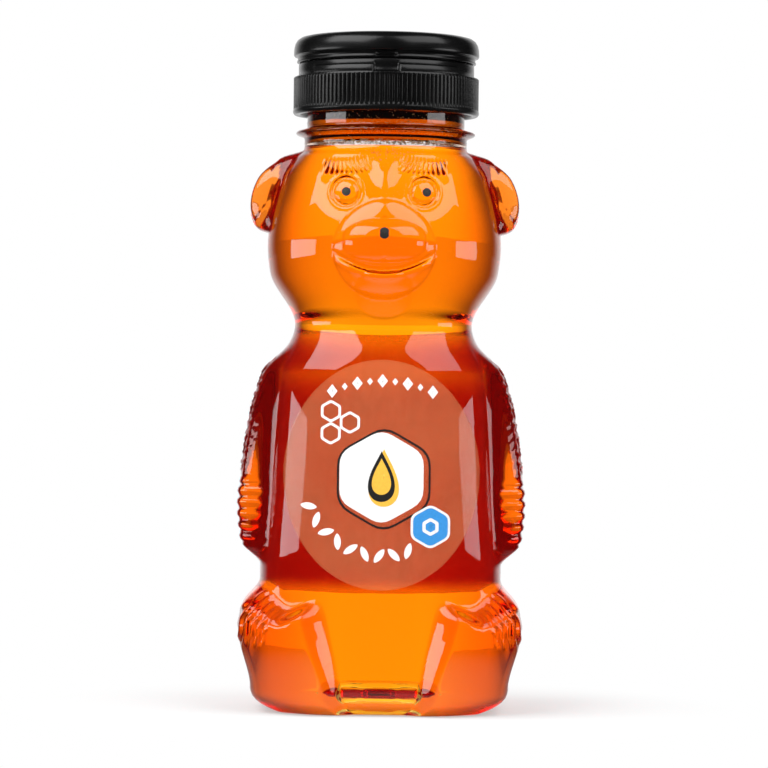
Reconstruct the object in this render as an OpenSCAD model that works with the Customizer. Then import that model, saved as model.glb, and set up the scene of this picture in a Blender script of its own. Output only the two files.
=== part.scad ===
// Squeeze bottle in the shape of a seated bear, filled with honey, with a ribbed flip top cap.
// Millimetres. The origin is on the table, under the middle of the bottle. The bear looks along -Y.

/* [Bear] */
// Height of the legs, from the table to the crease under the arms
legs_h = 31.3; // [29:0.1:34]
// Height of the torso, from that crease to the waist under the head
torso_h = 54; // [51:0.5:57]
// Height of the head, from the waist to the foot of the neck
head_h = 38.7; // [37:0.1:41]
// Width over both legs
legs_w = 63.4; // [60:0.1:66]
// Width at the crease between legs and arms
crease_w = 54.2; // [52:0.1:56]
// Width over both arms
arms_w = 63.4; // [60:0.1:66]
// Width at the waist under the head
waist_w = 39.4; // [38:0.1:42]
// Width of the head without its ears
head_w = 52; // [50:0.1:54]
// Width over both ears
ears_w = 60.2; // [57:0.1:63]
// Depth of the body at the belly, front to back
torso_d = 48.5; // [45:0.5:51]
// Depth of the head without the muzzle
head_d = 48; // [45:0.5:50]
// How far the legs stand forward of the panel between them
leg_out = 4.6; // [3:0.1:6]
// How far the muzzle stands out of the face
muzzle_out = 4.4; // [3:0.1:6]
// How deep the eyes lie in the face
eye_depth = 0.7; // [0:0.1:1.2]
// Wall of the blown body
wall = 1; // [0.8:0.1:1.3]
// Thickness of the floor
floor_t = 1.4; // [1:0.1:2]

/* [Neck] */
// Diameter of the neck under its threads
neck_d = 35.1; // [34.8:0.1:35.3]
// Diameter over the threads
thread_d = 37.5; // [37.2:0.1:37.6]
// Rise of the thread in one turn
thread_pitch = 4.233; // [4:0.001:4.4]
// Turns of thread on the neck
thread_turns = 1.25; // [1:0.05:1.5]
// Bore of the neck
bore_d = 31; // [29:0.1:31.4]
// Height of the neck from its ring to its mouth
finish_h = 11.9; // [11.6:0.1:13]
// Diameter of the carrying ring
ring_d = 39.9; // [39:0.1:41.5]
// Thickness of the carrying ring at its root
ring_t = 1.8; // [1.2:0.1:2.2]
// Diameter of the neck below its ring
neck_foot_d = 36.2; // [35.8:0.1:37]
// Height of the neck below its ring
neck_foot_h = 3; // [2.6:0.1:4]

/* [Cap] */
// Diameter of the cap over its ribs
cap_d = 41.3; // [41:0.1:43]
// Gap between the carrying ring and the cap when it is screwed home
cap_gap = 3.2; // [2.6:0.1:3.8]
// Thickness of the deck that closes the cap
deck_t = 1.5; // [1.2:0.1:2]
// Height of the ribbed band
rib_band_h = 7; // [6:0.1:7.4]
// Height of the smooth band under the ribs
smooth_band_h = 1.2; // [0.8:0.1:1.8]
// Number of ribs round the cap
rib_count = 156; // [120:1:170]
// Depth of the grooves between the ribs
rib_depth = 0.35; // [0.2:0.05:0.5]
// Depth of the cap's inner thread
cap_thread_h = 1; // [0.8:0.05:1.05]
// Turns of thread in the cap
cap_thread_turns = 1; // [0.8:0.05:1.1]
// Thickness of the sealing ring
seal_t = 1; // [0.8:0.1:1.4]
// Bore of the pouring spout
spout_bore_d = 7; // [5:0.1:9]
// Wall of the pouring spout
spout_wall = 1; // [0.8:0.1:1.4]
// Height of the spout over the deck
spout_h = 2; // [1.4:0.1:2.2]

/* [Lid] */
// Height of the closed lid
lid_h = 5.9; // [5.6:0.1:7]
// Wall of the lid
lid_wall = 1.3; // [1:0.1:1.6]
// Rounding of the lid's top edge
lid_round = 2.2; // [1.2:0.1:2.6]
// Height of the rim that overhangs the finger groove
rim_h = 4.4; // [3.6:0.1:4.8]
// Depth of the groove under the rim
groove_depth = 0.7; // [0.3:0.1:0.9]
// Width of the thumb notch at the front
notch_w = 4.7; // [3:0.1:8]
// Depth of the thumb notch
notch_depth = 1; // [0.5:0.1:1.2]
// Depth to which the lid's plug enters the spout
plug_in = 2.4; // [1.5:0.1:3]
// Wall of the lid's plug
plug_wall = 0.9; // [0.7:0.1:1.2]

/* [Hinge] */
// Width of the moulded hinge strap
strap_w = 12; // [8:0.5:16]
// Thickness of the strap's two pads
strap_t = 0.8; // [0.6:0.05:1]
// Thickness of the web that bends
web_t = 0.3; // [0.2:0.05:0.4]
// Height of the strap's pad on each side of the web
pad_h = 1.8; // [1.4:0.1:2.2]

/* [Labels and prints] */
// Width of the oval front label
front_label_w = 42.5; // [38:0.5:44]
// Height of the oval front label
front_label_h = 50; // [40:0.5:52]
// Width of the back label
back_label_w = 37; // [34:0.5:42]
// Height of the back label
back_label_h = 54; // [44:0.5:56]
// Thickness of a label
label_t = 0.12; // [0.08:0.01:0.2]
// Diameter of a printed pupil
pupil_d = 1.9; // [1.4:0.1:2.4]
// Distance between the pupils
pupil_gap = 17.3; // [15:0.1:20]
// Width of the printed nose
nose_w = 2.5; // [2:0.1:3.4]
// Thickness of the printed ink
ink_t = 0.08; // [0.06:0.01:0.12]

/* [Fits] */
// Clearance between thread crests and the wall that they face
thread_clear = 0.25; // [0.2:0.01:0.35]
// Clearance between the flanks of the two threads on the loaded side
flank_clear = 0.3; // [0.2:0.01:0.45]
// Gap at the faces that meet when the cap and lid are closed
seat_gap = 0.1; // [0.05:0.01:0.15]
// Clearance of the lid's plug in the spout
plug_clear = 0.1; // [0.05:0.01:0.2]
// Clearance around the hinge strap
strap_clear = 0.1; // [0.05:0.01:0.2]
// Gap between the honey and the wall
honey_gap = 0.05; // [0.03:0.01:0.1]
// Gap between a label or a print and the wall under it
film_gap = 0.3; // [0.2:0.01:0.35]

/* [Hidden] */

$fn = 96;
columns = 64;
foot_step = 3;
leg_step = 1.8;
torso_step = 4.6;
head_step = 3.3;
thread_step = 10;
patch_spokes = 56;
patch_rings = 9;

bear_h = legs_h + torso_h + head_h;
waist_z = legs_h + torso_h;
ring_z = bear_h + neck_foot_h;
finish_z = ring_z + ring_t;
mouth_z = finish_z + finish_h;
skirt_z = finish_z + cap_gap;
deck_z = mouth_z + seal_t + 2 * seat_gap;
parting_z = deck_z + deck_t;
lid_z = parting_z + seat_gap;
lid_top_z = lid_z + lid_h;

// Neck, cap and lid radii that follow from the sizes above
bore_r = bore_d / 2;
neck_r = neck_d / 2;
neck_foot_r = neck_foot_d / 2;
crest_r = thread_d / 2;
cap_r = cap_d / 2;
cap_bore_r = crest_r + thread_clear;
rib_root_r = cap_r - rib_depth;
cap_crest_r = cap_bore_r - cap_thread_h;
// Step from the ribs out to the smooth band and in to the shoulder
band_step = 0.1;
spout_bore_r = spout_bore_d / 2;
hinge_y = cap_r + strap_clear;

// Half width of each thread at its root and at its crest
neck_thread_root = 1;
neck_thread_crest = 0.5;
cap_thread_root = 0.75;
cap_thread_crest = 0.35;
thread_sink = 0.3;
fade_deg = 40;
thread_top_gap = 2.4;

// The shell's top is a flat ring that carries the neck tube
shoulder_edge = 0.4;
neck_root = 0.3;
lip_h = 1.2;
honey_over = 0.2;

function smooth(t) = let (u = max(0, min(1, t))) u * u * (3 - 2 * u);
function rise(x, low, high) = smooth((x - low) / (high - low));
function window(x, low, high, soft) =
    rise(x, low - soft, low + soft) * (1 - rise(x, high - soft, high + soft));

// A smooth curve through a few knots of [height, value], level at its ends and at its extremes
function knot_slope(k, i) = i == 0 || i == len(k) - 1 ? 0 :
    let (a = (k[i][1] - k[i - 1][1]) / (k[i][0] - k[i - 1][0]),
        b = (k[i + 1][1] - k[i][1]) / (k[i + 1][0] - k[i][0]))
    a * b <= 0 ? 0 : 2 * a * b / (a + b);
function curve_piece(k, i, t, w) =
    let (p = k[i][1], q = k[i + 1][1], m = knot_slope(k, i) * w, n = knot_slope(k, i + 1) * w)
    (2 * t * t * t - 3 * t * t + 1) * p + (t * t * t - 2 * t * t + t) * m
    + (3 * t * t - 2 * t * t * t) * q + (t * t * t - t * t) * n;
function curve_from(k, z, i) = i >= len(k) - 2 || z <= k[i + 1][0]
    ? let (w = k[i + 1][0] - k[i][0]) curve_piece(k, i, max(0, min(1, (z - k[i][0]) / w)), w)
    : curve_from(k, z, i + 1);
function curve(k, z) = curve_from(k, z, 0);

// Levels of the body that its curves share
arm_z = legs_h + 0.3 * torso_h;
chest_z = legs_h + 0.8 * torso_h;
cheek_z = waist_z + 0.45 * head_h;
brow_z = waist_z + 0.84 * head_h;
shoulder_r = neck_foot_r + shoulder_edge;

// Half width of the body without arms, legs and ears
width_knots = [
    [0, crease_w / 2 - 0.4],
    [legs_h, crease_w / 2 - 0.3],
    [arm_z, crease_w / 2 - 1.2],
    [chest_z, crease_w / 2 - 3.2],
    [waist_z, waist_w / 2],
    [waist_z + 0.3 * head_h, head_w / 2 - 0.6],
    [cheek_z, head_w / 2],
    [brow_z, head_w / 2 - 2.8],
    [bear_h - 1.6, shoulder_r + 1.6],
    [bear_h, shoulder_r]];
// Half depth of the body without the muzzle and the legs
depth_knots = [
    [0, torso_d / 2 - 1],
    [arm_z, torso_d / 2],
    [chest_z, torso_d / 2 - 2],
    [waist_z, waist_w / 2 - 0.8],
    [waist_z + 0.3 * head_h, head_d / 2 - 0.6],
    [cheek_z, head_d / 2],
    [brow_z, head_d / 2 - 2],
    [bear_h - 1.6, shoulder_r + 1.4],
    [bear_h, shoulder_r]];
// How square the body is: 2 is an ellipse
square_knots = [
    [0, 2.8],
    [chest_z, 2.7],
    [waist_z, 2.3],
    [cheek_z, 2.2],
    [bear_h - 1.6, 2],
    [bear_h, 2]];

// Rounding of the foot edge
foot_round_h = 5;
foot_inset = 6.5;
function foot_cut(z) = z >= foot_round_h ? 0 : foot_inset * pow(1 - z / foot_round_h, 2.2);

// Radius of the plain body at an angle from the front
function core_r(angle, z) =
    let (w = curve(width_knots, z), d = curve(depth_knots, z), n = curve(square_knots, z))
    pow(pow(abs(sin(angle)) / w, n) + pow(abs(cos(angle)) / d, n), -1 / n);

// Angle from the front at which the plain body is x wide
function angle_at(x, z) =
    let (w = curve(width_knots, z), d = curve(depth_knots, z), n = curve(square_knots, z))
    atan2(x, d * pow(1 - pow(abs(x) / w, n), 1 / n));

// Each limb spans a range of angles from the front, with soft ends
arm_front_deg = 67;
arm_back_deg = 114;
arm_soft_deg = 7;
arm_out = (arms_w - crease_w) / 2 + 1.2;
arm_knots = [
    [legs_h + 0.8, 0],
    [legs_h + 5.5, 0.72],
    [arm_z, 1],
    [legs_h + 0.62 * torso_h, 0.8],
    [chest_z, 0.5],
    [waist_z - 3.5, 0]];
function arm(side, z) =
    arm_out * curve(arm_knots, z) * window(side, arm_front_deg, arm_back_deg, arm_soft_deg);

leg_outer_deg = 66;
leg_soft_deg = 9;
thigh_front_deg = 62;
thigh_back_deg = 124;
thigh_soft_deg = 14;
leg_side_out = (legs_w - crease_w) / 2 + 0.35;
leg_knots = [
    [0, 0.42],
    [0.18 * legs_h, 0.42],
    [0.58 * legs_h, 1],
    [0.75 * legs_h, 0.78],
    [0.93 * legs_h, 0]];
// Seen from the front: the top of each leg as [distance from the middle, height], and the inner
// edge of each leg as [height, distance from the middle]
leg_top_knots = [
    [0.153 * legs_w, 0.745 * legs_h],
    [0.219 * legs_w, 0.785 * legs_h],
    [0.304 * legs_w, 0.725 * legs_h],
    [0.426 * legs_w, 0.89 * legs_h],
    [0.536 * legs_w, 0.92 * legs_h]];
leg_inner_knots = [
    [0, 0.117 * legs_w],
    [0.18 * legs_h, 0.126 * legs_w],
    [0.74 * legs_h, 0.183 * legs_w],
    [0.93 * legs_h, 0.199 * legs_w]];
// How far a leg's top slope reaches above its edge and below it, and how wide its inner slope is
leg_top_over = 1.2;
leg_top_under = 3.6;
leg_inner_slope = 3.8;
// Share of the leg's reach that is left at the toe, and the height at which it is whole
toe_share = 0.62;
toe_z = 0.54 * legs_h;
function leg_front(side, x, z) =
    (toe_share + (1 - toe_share) * rise(z, 0.06 * legs_h, toe_z))
    * rise(curve(leg_top_knots, x) - z, -leg_top_over, leg_top_under)
    * rise(x - curve(leg_inner_knots, z), 0, leg_inner_slope)
    * (1 - rise(side, leg_outer_deg - leg_soft_deg, leg_outer_deg + leg_soft_deg));
function leg(side, x, z) =
    leg_side_out * curve(leg_knots, z) * window(side, thigh_front_deg, thigh_back_deg, thigh_soft_deg)
    + leg_out * leg_front(side, x, z);

ear_z = waist_z + 0.76 * head_h;
ear_half_h = 0.235 * head_h;
ear_front_deg = 79;
ear_back_deg = 104;
ear_soft_deg = 6;
ear_out = (ears_w - head_w) / 2 + 1.4;
function ear(side, z) = abs(z - ear_z) >= ear_half_h ? 0 :
    ear_out * pow(1 - pow((z - ear_z) / ear_half_h, 2), 0.6)
    * window(side, ear_front_deg, ear_back_deg, ear_soft_deg);

muzzle_z = waist_z + 0.419 * head_h;
muzzle_half_w = 11.3;
muzzle_half_h = 10.9;
nose_z = waist_z + 0.497 * head_h;
nose_half_w = 8.8;
nose_half_h = 5;
chin_z = waist_z + 0.17 * head_h;
chin_half_w = 6.2;
chin_half_h = 5.4;
chin_out = 0.9;
function dome(x, z, half_w, half_h) =
    pow(max(0, 1 - pow(x / half_w, 2) - pow(z / half_h, 2)), 0.8);
function muzzle(x, z) =
    muzzle_out * (0.55 * dome(x, z - muzzle_z, muzzle_half_w, muzzle_half_h)
    + 0.5 * dome(x, z - nose_z, nose_half_w, nose_half_h))
    + chin_out * dome(x, z - chin_z, chin_half_w, chin_half_h);

eye_z = waist_z + 0.742 * head_h;
eye_half = 6.4;
function face(x, z) = muzzle(x, z) - eye_depth * dome(x - pupil_gap / 2, z - eye_z, eye_half, eye_half);

// Radius of the outer face. Angle 0 is the front, and 90 is the bear's left side, +X.
function bear_r(angle, z) =
    let (side = abs(angle > 180 ? angle - 360 : angle), plain = core_r(angle, z), x = plain * sin(side))
    plain + arm(side, z) + leg(side, x, z) + ear(side, z) + (side < 90 ? face(x, z) : 0) - foot_cut(z);
function on_bear(angle, z, out) =
    let (r = bear_r(angle, z) + out) [r * sin(angle), -r * cos(angle), z];

function steps(low, high, step) =
    let (n = ceil((high - low) / step)) [for (i = [0:n]) low + (high - low) * i / n];
// Levels that the outer and the inner face share, closer where the legs, arms and face slope
shared_levels = concat(
    steps(foot_round_h, 0.42 * legs_h, foot_step),
    steps(0.5 * legs_h, 0.96 * legs_h, leg_step),
    [legs_h + 1.2, legs_h + 3.4],
    steps(legs_h + 5.6, waist_z - 10, torso_step),
    steps(waist_z - 7.5, bear_h - lip_h - 0.4, head_step));
outer_levels = concat([0, 0.7, 1.6, 3], shared_levels, [bear_h]);
inner_levels = concat([floor_t, 0.5 * (floor_t + foot_round_h)], shared_levels);
function ring_at(r, z) =
    [for (i = [0:columns - 1]) let (a = 360 * i / columns) [r * sin(a), -r * cos(a), z]];
function bear_ring(z, out) = [for (i = [0:columns - 1]) on_bear(360 * i / columns, z, out)];

// Sides of a stack of rings, with a fan over the first ring and one over the last. The rings climb
// up to the row where they turn and run down again, and the diagonals of both faces match.
function stack_sides(rows, turn_row) = [for (j = [0:rows - 2], i = [0:columns - 1])
    let (k = (i + 1) % columns, a = j * columns, b = a + columns)
    each j < turn_row ? [[a + i, b + i, a + k], [a + k, b + i, b + k]]
        : [[a + i, b + i, b + k], [a + i, b + k, a + k]]];
function fan(start, centre, up) = [for (i = [0:columns - 1])
    let (k = (i + 1) % columns)
    up ? [start + i, centre, start + k] : [start + k, centre, start + i]];
module ring_stack(rings, turn_row) {
    last = (len(rings) - 1) * columns;
    centre_low = len(rings) * columns;
    points = concat([for (ring = rings) each ring],
        [[0, 0, rings[0][0][2]], [0, 0, rings[len(rings) - 1][0][2]]]);
    polyhedron(points, concat(stack_sides(len(rings), turn_row),
        fan(0, centre_low, false), fan(last, centre_low + 1, true)), convexity = 6);
}

// The blown shell: up the outer face, over a flat ring, and down the inner face
module bear_shell() {
    lip_r = bore_r - shoulder_edge;
    rings = concat(
        [for (z = outer_levels) bear_ring(z, 0)],
        [ring_at(lip_r, bear_h), ring_at(lip_r, bear_h - lip_h)],
        [for (i = [len(inner_levels) - 1:-1:0]) bear_ring(inner_levels[i], -wall)]);
    ring_stack(rings, len(outer_levels));
}

// A thread ridge: sections from root to crest that climb round the axis and fade at both ends
function thread_section(z, root_r, crest, root_half, crest_half) = [
    [root_r, z - root_half], [crest, z - crest_half], [crest, z + crest_half], [root_r, z + root_half]];
function turned(p, angle) = [p[0] * cos(angle), p[0] * sin(angle), p[1]];
module thread(wall_r, crest, root_half, crest_half, start_z, turns, start_angle) {
    outward = crest > wall_r ? 1 : -1;
    root_r = wall_r - outward * thread_sink;
    n = ceil(turns * 360 / thread_step);
    points = [for (i = [0:n])
        let (angle = turns * 360 * i / n,
            fade = min(1, min(angle, turns * 360 - angle) / fade_deg),
            tip = wall_r + outward * (0.1 + (abs(crest - wall_r) - 0.1) * smooth(fade)))
        each [for (p = thread_section(start_z + thread_pitch * angle / 360,
            root_r, tip, root_half, crest_half)) turned(p, start_angle + angle)]];
    sides = [for (i = [0:n - 1], j = [0:3])
        let (a = 4 * i + j, b = 4 * i + (j + 1) % 4)
        each [[a, b, a + 4], [b, b + 4, a + 4]]];
    ends = [[3, 2, 1, 0], [4 * n, 4 * n + 1, 4 * n + 2, 4 * n + 3]];
    faces = concat(sides, ends);
    polyhedron(points, outward < 0 ? [for (f = faces) [for (i = [len(f) - 1:-1:0]) f[i]]] : faces,
        convexity = 6);
}

neck_thread_top = mouth_z - thread_top_gap;
neck_thread_start = neck_thread_top - thread_turns * thread_pitch;
// Under the same angle, the cap's ridge hangs this far below the neck's
thread_drop = neck_thread_root + cap_thread_crest + flank_clear;
cap_thread_start = skirt_z + cap_thread_root + thread_sink;
cap_thread_angle = 360 * (cap_thread_start - neck_thread_start + thread_drop) / thread_pitch;

module neck_tube() {
    rotate_extrude()
        polygon([[bore_r, bear_h - neck_root], [neck_foot_r, bear_h - neck_root],
            [neck_foot_r, ring_z], [ring_d / 2, ring_z + 0.25 * ring_t],
            [ring_d / 2, ring_z + 0.75 * ring_t], [neck_r, finish_z],
            [neck_r, mouth_z - 0.4], [neck_r - 0.4, mouth_z], [bore_r, mouth_z]]);
}

module bottle() {
    color("orange", 0.6)
    union() {
        bear_shell();
        neck_tube();
        thread(neck_r, crest_r, neck_thread_root, neck_thread_crest,
            neck_thread_start, thread_turns, 0);
    }
}

module honey() {
    neck_honey_r = bore_r - shoulder_edge - honey_gap;
    rings = concat(
        [bear_ring(floor_t + honey_gap, -wall - honey_gap)],
        [for (i = [1:len(inner_levels) - 1]) bear_ring(inner_levels[i], -wall - honey_gap)],
        [ring_at(neck_honey_r, bear_h - lip_h - 0.2), ring_at(neck_honey_r, bear_h + honey_over)]);
    color("darkorange")
    ring_stack(rings, len(rings));
}

// A thin film that follows the body. Its outline is an oval, squarer with a larger power.
module body_film(middle_z, film_w, film_h, power, back, gap, thick) {
    function reach(turn) = pow(pow(abs(cos(turn)), power) + pow(abs(sin(turn)), power), -1 / power);
    function film_point(ring, spoke, out) =
        let (turn = 360 * spoke / patch_spokes, share = ring / patch_rings * reach(turn),
            x = share * film_w / 2 * cos(turn), z = middle_z + share * film_h / 2 * sin(turn))
        on_bear(back ? 180 - angle_at(x, z) : angle_at(x, z), z, out);
    points = [for (out = [gap + thick, gap])
        each concat([film_point(0, 0, out)],
            [for (j = [1:patch_rings], i = [0:patch_spokes - 1]) film_point(j, i, out)])];
    half = 1 + patch_rings * patch_spokes;
    function at(j, i) = 1 + (j - 1) * patch_spokes + i % patch_spokes;
    top = concat([for (i = [0:patch_spokes - 1]) [0, at(1, i + 1), at(1, i)]],
        [for (j = [1:patch_rings - 1], i = [0:patch_spokes - 1])
            each [[at(j, i), at(j, i + 1), at(j + 1, i)], [at(j, i + 1), at(j + 1, i + 1), at(j + 1, i)]]]);
    under = [for (f = top) [half + f[0], half + f[2], half + f[1]]];
    edge = [for (i = [0:patch_spokes - 1])
        let (a = at(patch_rings, i), b = at(patch_rings, i + 1))
        each [[a, b, half + a], [b, half + b, half + a]]];
    faces = concat(top, under, edge);
    polyhedron(points, back ? [for (f = faces) [f[0], f[2], f[1]]] : faces, convexity = 4);
}

label_z = legs_h + 0.394 * torso_h;
module front_label() {
    color("tomato", 0.5)
    body_film(label_z, front_label_w, front_label_h, 2, false, film_gap, label_t);
}
module back_label() {
    color("firebrick")
    body_film(label_z, back_label_w, back_label_h, 5, true, film_gap, label_t);
}

// A flat printed spot on the face, square to the wall under it
module face_spot(x, z, film_d) {
    angle = angle_at(x, z);
    translate(on_bear(angle, z, film_gap))
        rotate([90, 0, angle])
            cylinder(h = ink_t, d = film_d);
}
module eye_prints() {
    color("black")
    for (x = [-pupil_gap / 2, pupil_gap / 2])
        face_spot(x, eye_z, pupil_d);
}
module nose_print() {
    color("black")
    face_spot(0, nose_z + 0.3, nose_w);
}

module seal_ring() {
    color("whitesmoke")
    translate([0, 0, mouth_z + seat_gap])
        difference() {
            cylinder(h = seal_t, r = cap_bore_r - thread_clear - 0.3);
            translate([0, 0, -1])
                cylinder(h = seal_t + 2, r = bore_r);
        }
}

// The seat that the hinge strap's pads lie in, cut into the cap and into the lid
strap_seat_y = hinge_y - strap_t - strap_clear;
module strap_seat() {
    translate([-strap_w / 2 - strap_clear, strap_seat_y, parting_z - pad_h - strap_clear])
        cube([strap_w + 2 * strap_clear, strap_t + cap_r, 2 * (pad_h + strap_clear) + seat_gap]);
}

rib_z = skirt_z + smooth_band_h;
module ribbed_band() {
    translate([0, 0, rib_z])
        linear_extrude(rib_band_h)
            polygon([for (i = [0:rib_count - 1])
                each [for (p = [[0, cap_r], [0.35, cap_r], [0.5, rib_root_r], [0.85, rib_root_r]])
                    let (a = 360 * (i + p[0]) / rib_count) [p[1] * cos(a), p[1] * sin(a)]]]);
}

cap_shoulder_z = rib_z + rib_band_h;
module cap_shell() {
    difference() {
        union() {
            translate([0, 0, skirt_z])
                cylinder(h = smooth_band_h, r = cap_r + band_step);
            ribbed_band();
            translate([0, 0, cap_shoulder_z])
                cylinder(h = parting_z - cap_shoulder_z, r = rib_root_r - band_step);
            translate([0, 0, parting_z])
                cylinder(h = spout_h, r = spout_bore_r + spout_wall);
        }
        translate([0, 0, skirt_z - 1])
            cylinder(h = deck_z - skirt_z + 1, r = cap_bore_r);
        translate([0, 0, deck_z - 1])
            cylinder(h = deck_t + spout_h + 2, r = spout_bore_r);
        strap_seat();
    }
}

module cap_base() {
    color("dimgray")
    union() {
        cap_shell();
        thread(cap_bore_r, cap_crest_r, cap_thread_root, cap_thread_crest,
            cap_thread_start, cap_thread_turns, cap_thread_angle);
    }
}

// The strap is drawn from the side: two pads and the thin web between them
module cap_hinge() {
    color("black")
    translate([-strap_w / 2, 0, parting_z])
        rotate([90, 0, 90])
            linear_extrude(strap_w)
                polygon([
                    [hinge_y - strap_t, -pad_h], [hinge_y, -pad_h],
                    [hinge_y, pad_h], [hinge_y - strap_t, pad_h],
                    [hinge_y - strap_t, strap_t], [hinge_y - web_t, 0.1], [hinge_y - web_t, -0.1],
                    [hinge_y - strap_t, -strap_t]]);
}

lid_inner_r = rib_root_r - lid_wall;
plug_r = spout_bore_r - plug_clear;
rim_z = lid_top_z - rim_h;
plug_z = parting_z + spout_h - plug_in;
plug_h = lid_top_z - lid_wall - plug_z;
module lid_disc() {
    rotate_extrude()
        difference() {
            union() {
                translate([0, rim_z])
                    square([cap_r - lid_round, rim_h]);
                translate([0, rim_z])
                    square([cap_r, rim_h - lid_round]);
                translate([cap_r - lid_round, lid_top_z - lid_round])
                    intersection() {
                        circle(r = lid_round);
                        square(lid_round);
                    }
                translate([0, lid_z])
                    square([cap_r - groove_depth, rim_z - lid_z]);
            }
            translate([-1, lid_z - 1])
                square([lid_inner_r - groove_depth + 1, lid_h - lid_wall + 1]);
        }
}

module lid_plug() {
    translate([0, 0, plug_z])
        difference() {
            cylinder(h = plug_h + lid_wall / 2, r = plug_r);
            translate([0, 0, -1])
                cylinder(h = plug_h + 1, r = plug_r - plug_wall);
        }
}

module thumb_notch() {
    translate([-notch_w / 2, -cap_r - 1, lid_z - 1])
        cube([notch_w, 1 + groove_depth + notch_depth, rim_z - lid_z + 1.6]);
}

module cap_lid() {
    color("black")
    difference() {
        union() {
            lid_disc();
            lid_plug();
        }
        thumb_notch();
        strap_seat();
    }
}

bottle();
honey();
front_label();
back_label();
eye_prints();
nose_print();
seal_ring();
cap_base();
cap_hinge();
cap_lid();
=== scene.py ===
import math
import random

import bpy
import numpy as np
from mathutils import Matrix, Vector


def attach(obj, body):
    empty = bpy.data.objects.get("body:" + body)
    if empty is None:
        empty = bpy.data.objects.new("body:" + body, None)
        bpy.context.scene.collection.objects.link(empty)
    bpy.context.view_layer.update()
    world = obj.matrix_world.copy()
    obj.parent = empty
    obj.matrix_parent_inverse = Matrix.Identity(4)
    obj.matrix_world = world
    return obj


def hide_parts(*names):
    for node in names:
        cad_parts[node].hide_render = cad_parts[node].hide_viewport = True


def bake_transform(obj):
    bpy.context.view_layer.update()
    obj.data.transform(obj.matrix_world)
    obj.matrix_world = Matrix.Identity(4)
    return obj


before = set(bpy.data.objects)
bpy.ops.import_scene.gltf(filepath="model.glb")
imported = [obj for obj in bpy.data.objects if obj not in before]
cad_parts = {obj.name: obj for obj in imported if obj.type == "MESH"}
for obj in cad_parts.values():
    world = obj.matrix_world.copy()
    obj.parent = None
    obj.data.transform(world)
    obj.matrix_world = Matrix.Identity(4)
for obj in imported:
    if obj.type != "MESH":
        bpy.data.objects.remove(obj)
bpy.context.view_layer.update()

MM = 0.001
IMAGE_SIZE = 768

# Sizes of the bottle, in millimetres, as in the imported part
LEGS_H = 31.3
TORSO_H = 54.0
HEAD_H = 38.7
LEGS_W = 63.4
CREASE_W = 54.2
ARMS_W = 63.4
WAIST_W = 39.4
HEAD_W = 52.0
EARS_W = 60.2
TORSO_D = 48.5
HEAD_D = 48.0
LEG_OUT = 4.6
MUZZLE_OUT = 4.4
WALL = 1.0
FLOOR_T = 1.4
NECK_R = 17.55
THREAD_R = 18.75
THREAD_PITCH = 4.233
THREAD_TURNS = 1.25
BORE_R = 15.5
RING_R = 19.95
NECK_FOOT_R = 18.1
BEAR_H = LEGS_H + TORSO_H + HEAD_H
WAIST_Z = LEGS_H + TORSO_H
RING_Z = BEAR_H + 3.0
FINISH_Z = RING_Z + 1.8
MOUTH_Z = FINISH_Z + 11.9
HONEY_TOP_Z = BEAR_H + 0.2
PLUG_FOOT_Z = FINISH_Z - 3.3
PLUG_TOP_Z = MOUTH_Z - 4.0

# Sizes of the cap and the lid
CAP_R = 20.65
CAP_BORE_R = 19.0
SKIRT_Z = FINISH_Z + 3.2
RIB_Z = SKIRT_Z + 1.2
RIB_TOP_Z = RIB_Z + 7.0
DECK_Z = MOUTH_Z + 1.2
PARTING_Z = DECK_Z + 1.5
LID_Z = PARTING_Z + 0.1
LID_TOP_Z = LID_Z + 5.9
RIM_Z = LID_TOP_Z - 4.4
RIB_COUNT = 120
RIB_DEPTH = 0.35
SPOUT_BORE_R = 3.5
HINGE_Y = CAP_R + 0.1
STRAP_W = 12.0
STRAP_T = 0.8
WEB_T = 0.3
PAD_H = 1.8

# Face features
MUZZLE_Z = WAIST_Z + 0.419 * HEAD_H
NOSE_Z = WAIST_Z + 0.497 * HEAD_H
CHIN_Z = WAIST_Z + 0.17 * HEAD_H
SMILE_Z = WAIST_Z + 0.3 * HEAD_H
EYE_Z = WAIST_Z + 0.742 * HEAD_H
EYE_X = 8.65
EAR_Z = WAIST_Z + 0.76 * HEAD_H
EAR_HALF_H = 0.235 * HEAD_H
LABEL_Z = LEGS_H + 0.394 * TORSO_H
LABEL_HALF_W = 21.25
LABEL_HALF_H = 25.0
BACK_HALF_W = 18.5
BACK_HALF_H = 27.0


# ---------------------------------------------------------------- curves and masks

def smooth(t):
    t = np.clip(t, 0.0, 1.0)
    return t * t * (3.0 - 2.0 * t)


def rise(x, low, high):
    return smooth((x - low) / (high - low))


def window(x, low, high, soft):
    return rise(x, low - soft, low + soft) * (1.0 - rise(x, high - soft, high + soft))


def curve(knots, z):
    """A smooth curve through a few knots, level at its ends and at its extremes."""
    z = np.asarray(z, dtype=float)
    at = np.array([k[0] for k in knots], dtype=float)
    value = np.array([k[1] for k in knots], dtype=float)
    step = np.diff(value) / np.diff(at)
    slope = np.zeros(len(at))
    for i in range(1, len(at) - 1):
        a, b = step[i - 1], step[i]
        slope[i] = 0.0 if a * b <= 0 else 2 * a * b / (a + b)
    i = np.clip(np.searchsorted(at, z, side="right") - 1, 0, len(at) - 2)
    width = at[i + 1] - at[i]
    t = np.clip((z - at[i]) / width, 0.0, 1.0)
    start = (2 * t**3 - 3 * t**2 + 1) * value[i] + (t**3 - 2 * t**2 + t) * slope[i] * width
    end = (3 * t**2 - 2 * t**3) * value[i + 1] + (t**3 - t**2) * slope[i + 1] * width
    return start + end


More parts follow.
